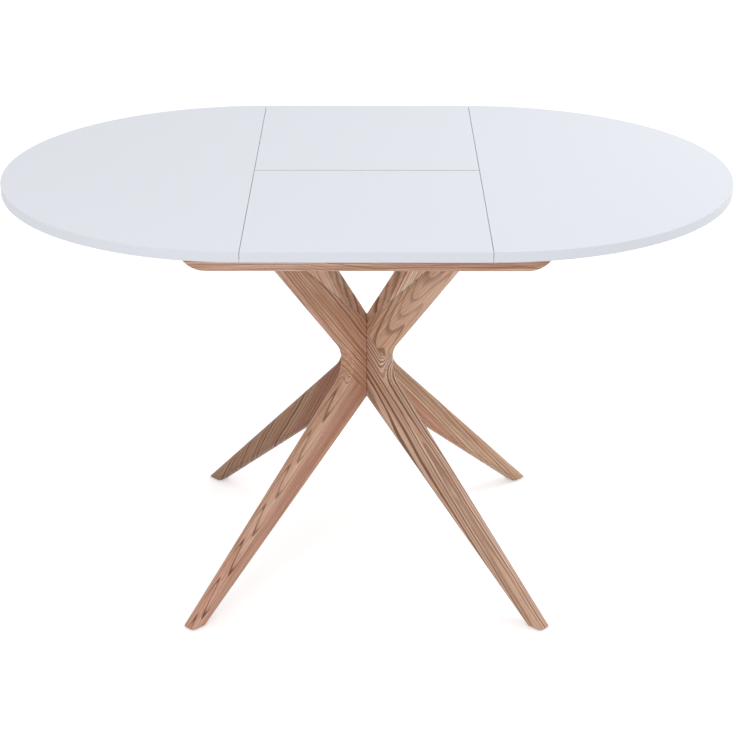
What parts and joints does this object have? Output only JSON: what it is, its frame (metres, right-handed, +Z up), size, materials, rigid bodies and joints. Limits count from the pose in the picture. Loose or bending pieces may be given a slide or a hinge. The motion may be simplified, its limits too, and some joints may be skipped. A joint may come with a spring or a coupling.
{
  "type": "butterfly leaf table",
  "caption": "Oval extending dining table with white half-round tops, a folding centre leaf on lift arms, and four crossed ash legs.",
  "frame": {"origin": "on the floor under the middle of the table, drawn out with its leaf in place", "axes": "+X along the table's length, +Y to the rear, +Z up"},
  "size_m": [1.305, 0.9, 0.76],
  "materials": {
    "ash": "clear satin oil on ash",
    "hidden_wood": "bare beech",
    "dowel_wood": "bare beech dowel",
    "white_lacquer": "white satin lacquer on fibreboard",
    "zinc_steel": "zinc plated",
    "fasteners": "yellow-clear zinc",
    "brass": "plain brass",
    "nylon": "moulded nylon",
    "gear_plastic": "acetal"
  },
  "bodies": {
    "base": {"front_left_upper_arm": "ash", "front_left_lower_leg": "ash", "front_right_upper_arm": "ash", "front_right_lower_leg": "ash", "rear_left_upper_arm": "ash", "rear_left_lower_leg": "ash", "rear_right_upper_arm": "ash", "rear_right_lower_leg": "ash", "front_rail": "ash", "rear_rail": "ash", "left_cross_member": "hidden_wood", "right_cross_member": "hidden_wood", "hub_dowels": "dowel_wood", "elbow_dowels": "dowel_wood", "cross_dowels": "dowel_wood", "arm_dowels": "dowel_wood", "front_slide_track": "zinc_steel", "rear_slide_track": "zinc_steel", "left_pivot_plate": "zinc_steel", "right_pivot_plate": "zinc_steel", "track_screws": "fasteners", "pinion_pins": "fasteners", "pivot_plate_screws": "fasteners", "lift_lower_pins": "fasteners", "arm_bolts": "fasteners", "arm_washers": "fasteners", "arm_inserts": "brass", "foot_glides": "nylon"},
    "left_top": {"left_half_top": "white_lacquer", "left_bearer": "hidden_wood", "left_runner_blocks": "hidden_wood", "left_front_runner": "zinc_steel", "left_rear_runner": "zinc_steel", "left_leaf_ledge": "zinc_steel", "left_top_screws": "fasteners"},
    "right_top": {"right_half_top": "white_lacquer", "right_bearer": "hidden_wood", "right_runner_blocks": "hidden_wood", "right_front_runner": "zinc_steel", "right_rear_runner": "zinc_steel", "right_leaf_ledge": "zinc_steel", "right_top_screws": "fasteners"},
    "front_gear": {"front_pinion": "gear_plastic"},
    "rear_gear": {"rear_pinion": "gear_plastic"},
    "rear_lift_arms": {"lift_rear_arms": "zinc_steel", "lift_rear_cross_bar": "zinc_steel"},
    "front_lift_arms": {"lift_front_arms": "zinc_steel", "lift_front_cross_bar": "zinc_steel"},
    "leaf_front_half": {"front_leaf": "white_lacquer", "left_leaf_carrier": "zinc_steel", "right_leaf_carrier": "zinc_steel", "lift_upper_pins": "fasteners", "carrier_screws": "fasteners", "front_hinge_barrels": "brass"},
    "leaf_rear_half": {"rear_leaf": "white_lacquer", "rear_hinge_barrels": "brass"}
  },
  "joints": [
    {"name": "left_top_slide", "type": "slide", "parent": "base", "child": "left_top", "axis": [-1, 0, 0], "range_m": [0, 0.03]},
    {"name": "right_top_slide", "type": "slide", "parent": "base", "child": "right_top", "axis": [1, 0, 0], "range_m": [0, 0.03]},
    {"name": "front_gear_turn", "type": "hinge", "parent": "base", "child": "front_gear", "pos_m": [0, -0.14315, 0.67073], "axis": [0, -1, 0], "range_deg": [0, 192]},
    {"name": "rear_gear_turn", "type": "hinge", "parent": "base", "child": "rear_gear", "pos_m": [0, 0.14315, 0.67073], "axis": [0, 1, 0], "range_deg": [0, 192]},
    {"name": "leaf_lift", "type": "hinge", "parent": "base", "child": "rear_lift_arms", "pos_m": [0, 0.00033, 0.63453], "axis": [-1, 0, 0], "range_deg": [0, 115.2]},
    {"name": "front_arm_swing", "type": "hinge", "parent": "base", "child": "front_lift_arms", "pos_m": [0, -0.02967, 0.63453], "axis": [-1, 0, 0], "range_deg": [0, 115.2]},
    {"name": "leaf_level", "type": "hinge", "parent": "rear_lift_arms", "child": "leaf_front_half", "pos_m": [0, -0.0975, 0.729], "axis": [-1, 0, 0], "range_deg": [-115.2, 0]},
    {"name": "leaf_fold", "type": "hinge", "parent": "leaf_front_half", "child": "leaf_rear_half", "pos_m": [0, 0, 0.76], "axis": [1, 0, 0], "range_deg": [0, 180]}
  ],
  "couplings": [
    {"joint": "right_top_slide", "follows": "left_top_slide", "ratio": 1},
    {"joint": "front_gear_turn", "follows": "left_top_slide", "rad_per_m": 111.11},
    {"joint": "rear_gear_turn", "follows": "left_top_slide", "rad_per_m": 111.11},
    {"joint": "front_arm_swing", "follows": "leaf_lift", "ratio": 1},
    {"joint": "leaf_level", "follows": "leaf_lift", "ratio": -1}
  ]
}
